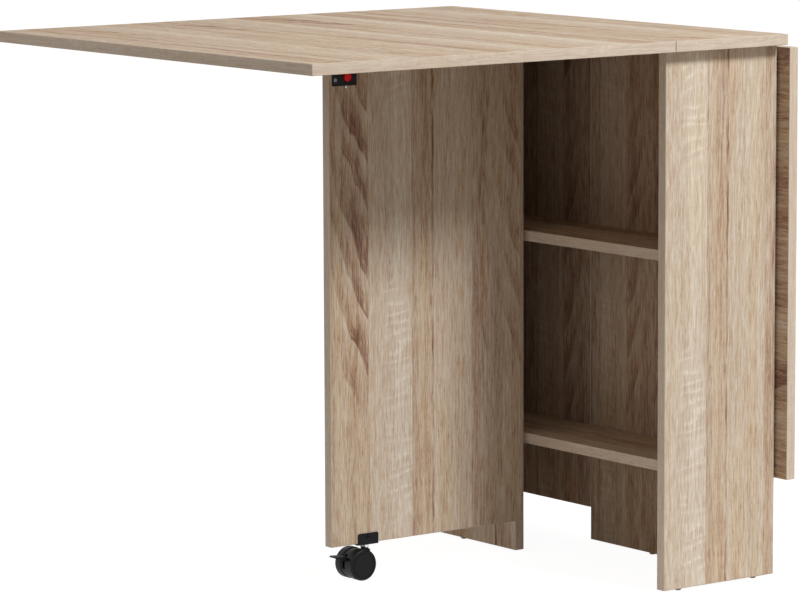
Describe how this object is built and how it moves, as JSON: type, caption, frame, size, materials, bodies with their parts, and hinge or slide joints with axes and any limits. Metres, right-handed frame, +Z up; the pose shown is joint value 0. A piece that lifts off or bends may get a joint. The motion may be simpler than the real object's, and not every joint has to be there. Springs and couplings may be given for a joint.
{
  "type": "folding gateleg dining table",
  "caption": "Narrow cabinet table in light oak laminate with drop leaves, each held up by a hinged gate on a braked castor with a push-button catch.",
  "frame": {"origin": "on the floor, under the centre of the cabinet", "axes": "+X along the opened table's length towards the hanging leaf, +Y across it along the hinge lines, +Z up"},
  "size_m": [0.8186, 0.75, 0.755],
  "materials": {
    "oak_board": "light oak melamine on chipboard with fine embossed grain, satin",
    "beech_dowel": "plain turned beech",
    "zinc_fitting": "cast zinc, satin",
    "hinge_steel": "bright zinc-plated steel",
    "black_steel": "black powder coat, satin",
    "bright_collar": "turned bright steel",
    "black_plastic": "moulded plastic, fine satin grain",
    "glide_plastic": "moulded brown-grey plastic, satin",
    "wheel_plastic": "moulded nylon, satin",
    "red_button": "red moulded plastic, slight gloss"
  },
  "bodies": {
    "cabinet": {"centre_top": "oak_board", "end_panel_rear": "oak_board", "end_panel_front": "oak_board", "side_panel_left": "oak_board", "side_panel_right": "oak_board", "shelf_upper": "oak_board", "shelf_lower": "oak_board", "shelf_pins": "zinc_fitting", "dowels": "beech_dowel", "cam_locks": "zinc_fitting", "cam_bolts": "hinge_steel", "glides": "glide_plastic", "leaf_hinge_fixed_plates": "hinge_steel", "leaf_hinge_pins": "hinge_steel", "gate_hinge_fixed_plates": "hinge_steel", "gate_hinge_pins": "hinge_steel", "cabinet_hinge_screws": "hinge_steel"},
    "leaf_left": {"leaf_left": "oak_board", "leaf_hinge_plates_left": "hinge_steel", "leaf_screws_left": "hinge_steel", "strike_plate_left": "black_plastic"},
    "gate_left": {"gate_left": "oak_board", "gate_hinge_plates_left": "hinge_steel", "gate_screws_left": "hinge_steel", "catch_housing_left": "black_plastic", "catch_spring_left": "hinge_steel", "catch_screws_left": "hinge_steel", "castor_bracket_left": "black_steel", "castor_screws_left": "black_steel"},
    "catch_bolt_left": {"catch_bolt_left": "hinge_steel"},
    "release_button_left": {"release_button_left": "red_button"},
    "castor_left": {"castor_stem_left": "bright_collar", "castor_hood_left": "black_plastic", "castor_axle_left": "hinge_steel"},
    "wheel_inner_left": {"castor_wheel_inner_left": "wheel_plastic"},
    "wheel_outer_left": {"castor_wheel_outer_left": "wheel_plastic"},
    "brake_lever_left": {"brake_lever_left": "black_plastic"},
    "leaf_right": {"leaf_right": "oak_board", "leaf_hinge_plates_right": "hinge_steel", "leaf_screws_right": "hinge_steel", "strike_plate_right": "black_plastic"},
    "gate_right": {"gate_right": "oak_board", "gate_hinge_plates_right": "hinge_steel", "gate_screws_right": "hinge_steel", "catch_housing_right": "black_plastic", "catch_spring_right": "hinge_steel", "catch_screws_right": "hinge_steel", "castor_bracket_right": "black_steel", "castor_screws_right": "black_steel"},
    "catch_bolt_right": {"catch_bolt_right": "hinge_steel"},
    "release_button_right": {"release_button_right": "red_button"},
    "castor_right": {"castor_stem_right": "bright_collar", "castor_hood_right": "black_plastic", "castor_axle_right": "hinge_steel"},
    "wheel_inner_right": {"castor_wheel_inner_right": "wheel_plastic"},
    "wheel_outer_right": {"castor_wheel_outer_right": "wheel_plastic"},
    "brake_lever_right": {"brake_lever_right": "black_plastic"}
  },
  "joints": [
    {"name": "left_leaf_fold", "type": "hinge", "parent": "cabinet", "child": "leaf_left", "pos_m": [-0.1005, 0, 0.7369], "axis": [0, 1, 0], "range_deg": [0, 2.5]},
    {"name": "left_gate_swing", "type": "hinge", "parent": "cabinet", "child": "gate_left", "pos_m": [-0.0801, -0.00075, 0], "axis": [0, 0, 1], "range_deg": [0, 90]},
    {"name": "left_button_press", "type": "slide", "parent": "gate_left", "child": "release_button_left", "axis": [0, 1, 0], "range_m": [0, 0.0025], "stiffness_N_per_m": 500, "springref_m": -0.003},
    {"name": "left_bolt_drop", "type": "slide", "parent": "gate_left", "child": "catch_bolt_left", "axis": [0, 0, -1], "range_m": [0, 0.0025], "deforming": ["catch_spring_left"]},
    {"name": "left_castor_swivel", "type": "hinge", "parent": "gate_left", "child": "castor_left", "pos_m": [-0.35385, -0.01135, 0.05], "axis": [0, 0, 1], "continuous": true},
    {"name": "left_inner_wheel_roll", "type": "hinge", "parent": "castor_left", "child": "wheel_inner_left", "pos_m": [-0.36935, -0.01135, 0.022], "axis": [0, 1, 0], "continuous": true},
    {"name": "left_outer_wheel_roll", "type": "hinge", "parent": "castor_left", "child": "wheel_outer_left", "pos_m": [-0.36935, -0.01135, 0.022], "axis": [0, 1, 0], "continuous": true},
    {"name": "left_brake_press", "type": "hinge", "parent": "castor_left", "child": "brake_lever_left", "pos_m": [-0.36935, -0.01135, 0.022], "axis": [0, -1, 0], "range_deg": [0, 20]},
    {"name": "right_leaf_fold", "type": "hinge", "parent": "cabinet", "child": "leaf_right", "pos_m": [0.1005, 0, 0.7369], "axis": [0, -1, 0], "range_deg": [0, 90]},
    {"name": "right_gate_swing", "type": "hinge", "parent": "cabinet", "child": "gate_right", "pos_m": [0.0801, 0.00075, 0], "axis": [0, 0, -1], "range_deg": [0, 4]},
    {"name": "right_button_press", "type": "slide", "parent": "gate_right", "child": "release_button_right", "axis": [1, 0, 0], "range_m": [0, 0.0025], "stiffness_N_per_m": 500, "springref_m": -0.003},
    {"name": "right_bolt_drop", "type": "slide", "parent": "gate_right", "child": "catch_bolt_right", "axis": [0, 0, -1], "range_m": [0, 0.0025], "deforming": ["catch_spring_right"]},
    {"name": "right_castor_swivel", "type": "hinge", "parent": "gate_right", "child": "castor_right", "pos_m": [0.0695, 0.2745, 0.05], "axis": [0, 0, 1], "continuous": true},
    {"name": "right_inner_wheel_roll", "type": "hinge", "parent": "castor_right", "child": "wheel_inner_right", "pos_m": [0.0695, 0.29, 0.022], "axis": [1, 0, 0], "continuous": true},
    {"name": "right_outer_wheel_roll", "type": "hinge", "parent": "castor_right", "child": "wheel_outer_right", "pos_m": [0.0695, 0.29, 0.022], "axis": [1, 0, 0], "continuous": true},
    {"name": "right_brake_press", "type": "hinge", "parent": "castor_right", "child": "brake_lever_right", "pos_m": [0.0695, 0.29, 0.022], "axis": [-1, 0, 0], "range_deg": [0, 20]}
  ],
  "couplings": [
    {"joint": "left_bolt_drop", "follows": "left_button_press", "ratio": 1},
    {"joint": "right_bolt_drop", "follows": "right_button_press", "ratio": 1}
  ]
}
